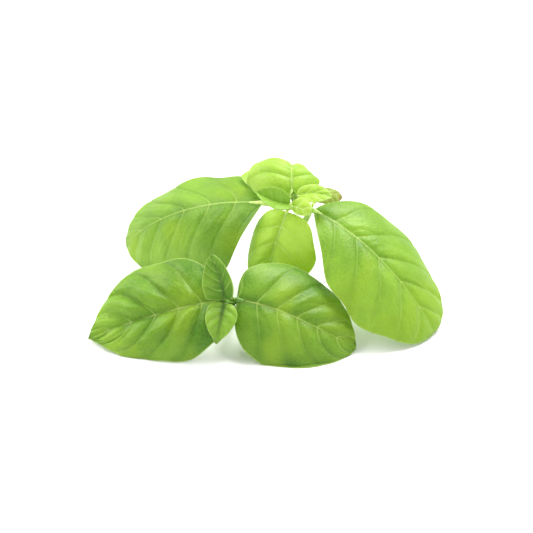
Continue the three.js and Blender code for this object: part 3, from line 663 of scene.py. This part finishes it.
grow_leaf(
    "back_small_leaf_left", fresh_blade,
    rib=[(9, 0.8, 45.7), (5, -0.5, 47), (0, -1.2, 49.5), (-4, -1, 52.2)],
    face=[(0, -0.7, 0.7), (0, -0.6, 0.8)], half=(5.4, 5.4), lift=(45, 45), droop=(20, 20),
    widest=(0.5, 0.5), blunt=(0.3, 0.6), panels=4, puff=0.3, wave=(0.1, 2, 0),
    stalk=(10.8, 3.4, 46.1), stalk_radius=0.5, rows=80, columns=41, thickness=0.32, crinkle=0.4,
    age_and_light=0.75, vein_depth=0.15,
)
grow_leaf(
    "back_small_leaf_right", young_blade,
    rib=[(12.4, 3.4, 48), (16, 3, 49.8), (21, 2.5, 50), (25.8, 2.5, 48)],
    face=[(0, -0.5, 0.9), (0, -0.5, 0.9)], half=(4, 4.8), lift=(30, 30), droop=(40, 45),
    widest=(0.45, 0.45), blunt=(0.4, 0.7), panels=4, puff=0.3, wave=(0.1, 2, 0),
    stalk=(12.8, 3.8, 46), stalk_radius=0.5, rows=80, columns=41, thickness=0.32, crinkle=0.4,
    vein_depth=0.12, age_and_light=0.3,
)
grow_leaf(
    "back_small_leaf_front", young_blade,
    rib=[(10.1, -1.1, 45.7), (11.6, -3.4, 47), (14, -4.6, 46.7), (17, -4.8, 44.5)],
    face=[(0, -0.8, 0.6), (0, -0.7, 0.7)], half=(4.6, 2.8), lift=(10, 10), droop=(35, 50),
    widest=(0.5, 0.5), blunt=(0.38, 0.55), panels=3, puff=0.2, wave=(0.1, 2, 0),
    stalk=(12.6, 2.3, 45.1), stalk_radius=0.5, rows=80, columns=41, thickness=0.32, crinkle=0.4,
    vein_depth=0.12, age_and_light=0.3,
)

# Back sprig, the two side leaves.
# Two small leaves grow from the stem behind the tip. The right one is old: olive, with a browned end.
# The left one is young and pale, and the top leaf hides almost all of it from the front.
old_blade = leaf_finish(
    "old basil leaf, olive", "#93a638", "#b9ce58", "#b4c044", "#ccd892", "#a9b46a", "#c4d252",
    browned="#a07a3c",
)

grow_leaf(
    "back_side_leaf_right", old_blade,
    rib=[(19.5, 12, 41), (22, 15, 43.5), (27, 18, 42.5), (30.5, 19, 39)],
    face=[(0, -0.4, 0.9), (0.3, -0.4, 0.8)], half=(5, 5), lift=(5, 5), droop=(60, 60),
    widest=(0.5, 0.5), blunt=(0.5, 0.6), panels=4, puff=0.3, wave=(0.1, 2, 0),
    stalk=(18, 6.5, 42), stalk_radius=0.7, rows=72, columns=41, thickness=0.34, crinkle=0.4,
    vein_depth=0.12,
)
grow_leaf(
    "back_side_leaf_left", young_blade,
    rib=[(4, 14, 45), (-1, 18, 47.5), (-5, 22, 47.5), (-10, 25, 46)],
    face=[(0, -0.4, 0.9), (0, -0.4, 0.9)], half=(5, 5), lift=(20, 20), droop=(50, 50),
    widest=(0.5, 0.5), blunt=(0.5, 0.7), panels=4, puff=0.3, wave=(0.1, 2, 0),
    stalk=(15, 7.5, 44), stalk_radius=0.7, rows=72, columns=41, thickness=0.34, crinkle=0.4,
    vein_depth=0.12, age_and_light=0.3,
)

# The two stems and their buds.
# A basil stem is square with rounded corners, thickens at the node and is cut off flat at its foot.
# Its bud is three crossed pairs of tiny folded leaflets, which grow from the stem and are one piece with it.
stem = bpy.data.node_groups.new("stem", "GeometryNodeTree")
stem.is_modifier = True
path_handles = ["tip of stem", "handle at tip", "handle at foot", "foot"]
sockets(
    stem, [("Geometry", "stem")], Vector=path_handles, Float=["radius", "node radius", "leaflet length"],
    Material=["stem finish", "leaflet finish"],
)
given = add(stem, "NodeGroupInput").outputs

# The rings of the tube stop short of the foot, and the last one is moved along the stem onto the table.
stem_points = 64
last_ring = 0.88  # share of the stem at which the rings stop
node_reach = 0.09  # share of the stem that the node thickens
squareness = 0.07  # how far the corners stand out and the sides lie in, as a share of the radius
step = add(stem, "GeometryNodeInputIndex")
step = add(stem, "ShaderNodeMath", step, 1 / (stem_points - 1), operation="MULTIPLY")
at_foot = add(stem, "ShaderNodeMath", step, 0.999, operation="GREATER_THAN")
share = add(stem, "ShaderNodeMath", step, last_ring, operation="MULTIPLY")
share = add(stem, "ShaderNodeMath", at_foot, 1 - last_ring, share, operation="MULTIPLY_ADD")
path = add(stem, "GeometryNodeGroup", share, *[given[name] for name in path_handles], node_tree=midrib)
near_node = add(
    stem, "ShaderNodeMapRange", share, 0.0, node_reach, 1.0, 0.0, interpolation_type="SMOOTHSTEP"
)
tube_radius = add(stem, "ShaderNodeMix", near_node, given["radius"], given["node radius"])
tube = add(stem, "GeometryNodeMeshLine", {"Count": stem_points})
tube = add(stem, "GeometryNodeSetPosition", {"Geometry": tube, "Position": path})
for name, kept in (("tube radius", tube_radius), ("at foot", at_foot)):
    tube = add(stem, "GeometryNodeStoreNamedAttribute", tube, None, name, kept, data_type="FLOAT")
tube = add(stem, "GeometryNodeMeshToCurve", tube)
tube_radius = add(stem, "GeometryNodeInputNamedAttribute", {"Name": "tube radius"}, data_type="FLOAT")
ring = add(stem, "GeometryNodeCurvePrimitiveCircle", {"Resolution": 32, "Radius": 1.0})
corner = add(stem, "ShaderNodeMath", add(stem, "GeometryNodeInputIndex"), math.pi / 4, operation="MULTIPLY")
corner = add(stem, "ShaderNodeMath", corner, operation="COSINE")
corner = add(stem, "ShaderNodeMath", corner, squareness, 1.0, operation="MULTIPLY_ADD")
corner = add(stem, "ShaderNodeVectorMath", add(stem, "GeometryNodeInputPosition"), corner, operation="SCALE")
ring = add(stem, "GeometryNodeSetPosition", {"Geometry": ring, "Position": corner})
tube = {"Curve": tube, "Profile Curve": ring, "Scale": tube_radius, "Fill Caps": True}
tube = add(stem, "GeometryNodeCurveToMesh", tube)
way_down = add(stem, "ShaderNodeVectorMath", given["foot"], given["handle at foot"], operation="SUBTRACT")
height = add(stem, "ShaderNodeSeparateXYZ", add(stem, "GeometryNodeInputPosition")).outputs["Z"]
fall = add(stem, "ShaderNodeSeparateXYZ", way_down).outputs["Z"]
to_table = add(stem, "ShaderNodeMath", height, fall, operation="DIVIDE")
to_table = add(stem, "ShaderNodeMath", to_table, -1.0, operation="MULTIPLY")
on_last_ring = add(stem, "GeometryNodeInputNamedAttribute", {"Name": "at foot"}, data_type="FLOAT")
to_table = add(stem, "ShaderNodeMath", to_table, on_last_ring, operation="MULTIPLY")
to_table = add(stem, "ShaderNodeVectorMath", way_down, to_table, operation="SCALE")
tube = add(stem, "GeometryNodeSetPosition", {"Geometry": tube, "Offset": to_table})
tube = add(stem, "GeometryNodeSetShadeSmooth", {"Geometry": tube})
tube = add(stem, "GeometryNodeSetMaterial", {"Geometry": tube, "Material": given["stem finish"]})

# The bud: a leaflet 1 long grows once, and is set six times around the tip, each pair across the one
# below it.
pair_shrink = 0.22  # how much shorter each pair is than the one below it, as a share of the lowest
leaflet = {
    "base": (0.0, 0.05, 0.0), "base handle": (0.0, 0.3, 0.35),
    "tip handle": (0.0, 0.4, 0.75), "tip": (0.0, 0.25, 1.05),
    "face at base": (0.0, -0.7, 0.7), "face at tip": (0.0, -1.0, 0.2),
    "stalk": (0.0, 0.02, -0.1), "stalk handle": (0.0, 0.02, -0.05), "blade handle": (0.0, 0.02, -0.02),
    "length": 1.0, "age_and_light": -0.2, "tip light": 0.45, "vein depth": 0.0, "half left": 0.32, "half right": 0.32,
    "lift left": 0.7, "lift right": 0.7, "droop left": 0.3, "droop right": 0.3,
    "swell left": 0.9, "swell right": 0.9, "blunt base": 0.6, "blunt tip": 0.8, "panels": 3.0,
    "puff": 0.02, "crinkle": 0.0, "wave height": 0.0, "stalk radius": 0.09, "thickness": 0.09,
    "rows": 20, "columns": 13, "blade finish": given["leaflet finish"], "stalk finish": given["stem finish"],
}
leaflet = add(stem, "GeometryNodeGroup", leaflet, node_tree=leaf)
leaflets = add(stem, "GeometryNodeMeshLine", {"Count": 6, "Offset": (0.0, 0.0, 0.0)})
leaflets = add(stem, "GeometryNodeSetPosition", {"Geometry": leaflets, "Position": given["tip of stem"]})
number = add(stem, "GeometryNodeInputIndex")
pair = add(stem, "ShaderNodeMath", number, 0.5, operation="MULTIPLY")
pair = add(stem, "ShaderNodeMath", pair, operation="FLOOR")
around = add(stem, "ShaderNodeMath", pair, -1.5, number, operation="MULTIPLY_ADD")
around = add(stem, "ShaderNodeMath", around, math.pi, operation="MULTIPLY")
smaller = add(stem, "ShaderNodeMath", pair, -pair_shrink, 1.0, operation="MULTIPLY_ADD")
smaller = add(stem, "ShaderNodeMath", smaller, given["leaflet length"], operation="MULTIPLY")
turned = add(stem, "FunctionNodeEulerToRotation", add(stem, "ShaderNodeCombineXYZ", 0.0, 0.0, around))
leaflets = {"Points": leaflets, "Instance": leaflet, "Rotation": turned, "Scale": smaller}
leaflets = add(stem, "GeometryNodeInstanceOnPoints", leaflets)
leaflets = add(stem, "GeometryNodeRealizeInstances", leaflets)
add(stem, "NodeGroupOutput", add(stem, "GeometryNodeJoinGeometry", [tube, leaflets]))

stem_radius = 1.35 * MM
node_radius = 1.8 * MM
paths = {
    # from the growing tip to the cut foot (mm), the length of the bud's leaflets (mm), and their finishes
    # The front stem and bud take the darker skins, painted shade at the front node.
    "front_stem": (
        [(-13.4, -30.4, 19.8), (-13.5, -26, 15.5), (-13.5, -18, 8), (-14, -10, -1)],
        2.6, green_and_shaded_stem_skin, deep_blade,
    ),
    "back_stem": (
        [(10.7, 3.2, 45.5), (26, 6, 43), (10, 14, 26), (-1, 28, -1)],
        4.2, pale_and_lit_stem_skin, fresh_blade,
    ),
}
for node, (points, leaflet_length, stem_skin, leaflet_skin) in paths.items():
    sizes = {name: tuple((Vector(point) - middle) * MM) for name, point in zip(path_handles, points)}
    sizes |= {"radius": stem_radius, "node radius": node_radius, "leaflet length": leaflet_length * MM}
    sizes |= {"stem finish": stem_skin, "leaflet finish": leaflet_skin}
    grow(node, stem, sizes)
